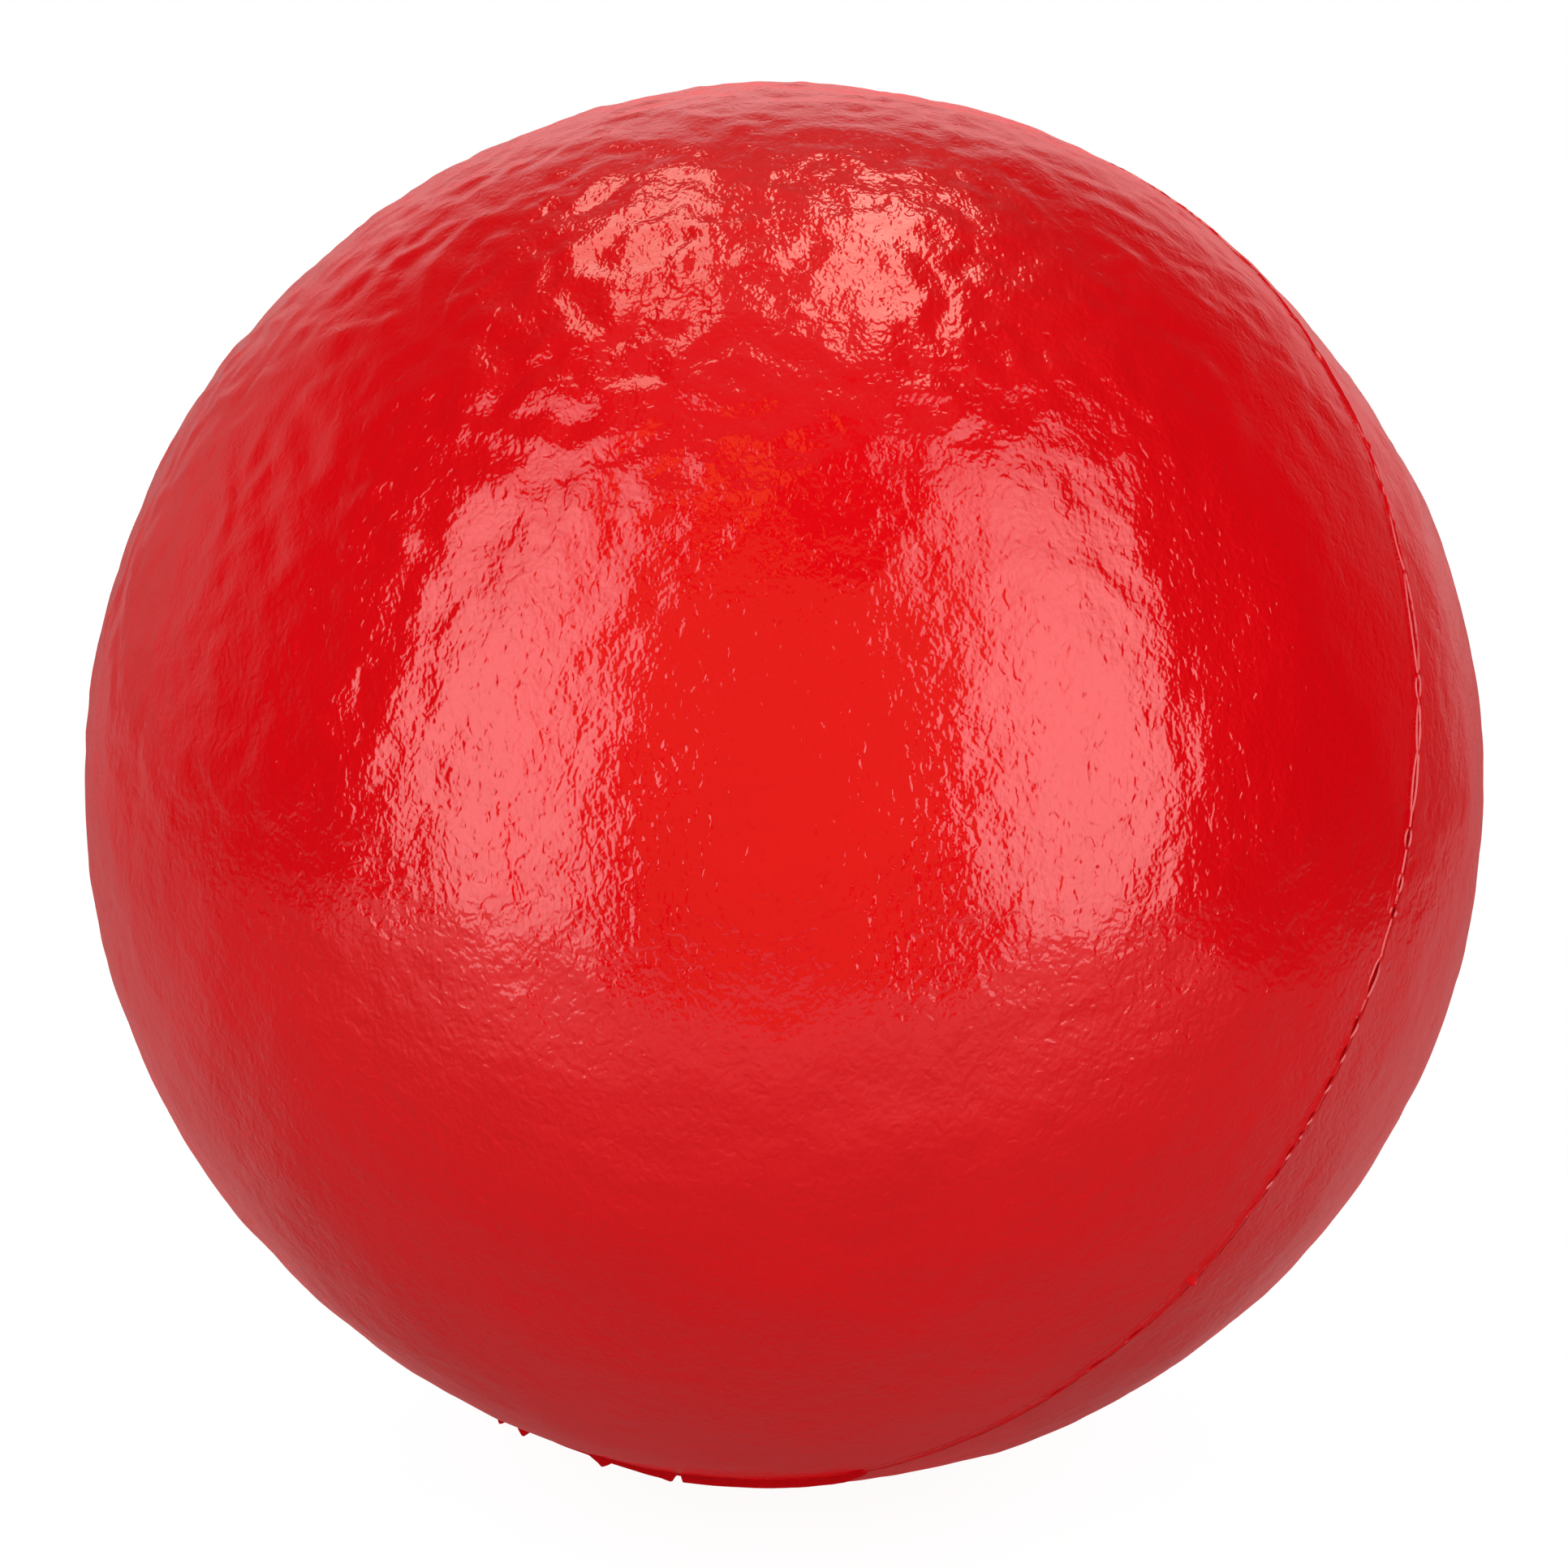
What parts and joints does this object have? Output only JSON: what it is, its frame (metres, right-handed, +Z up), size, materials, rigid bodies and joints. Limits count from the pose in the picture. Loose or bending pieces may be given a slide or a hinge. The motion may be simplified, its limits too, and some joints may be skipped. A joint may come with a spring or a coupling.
{
  "type": "foam ball",
  "caption": "Soft play ball: a moulded foam core in a glossy, finely wrinkled red elastomer skin of two halves, with a trimmed flash web along the parting line.",
  "frame": {"origin": "centre of the flat resting patch under the ball, on the surface it lies on", "axes": "+Z up; -Y is the front, the way that the front half skin's pole faces, leaning 24 degrees upwards; +X to the right seen from the front"},
  "size_m": [0.201, 0.2, 0.1991],
  "materials": {
    "foam": "matte open-cell polyurethane foam",
    "skin": "glossy sprayed polyurethane elastomer with fine wrinkles",
    "cut_skin": "trimmed edge of the elastomer skin, satin"
  },
  "bodies": {
    "root": {"foam_core": "foam", "skin_front": "skin", "skin_rear": "skin", "parting_flash": "cut_skin"}
  },
  "joints": []
}
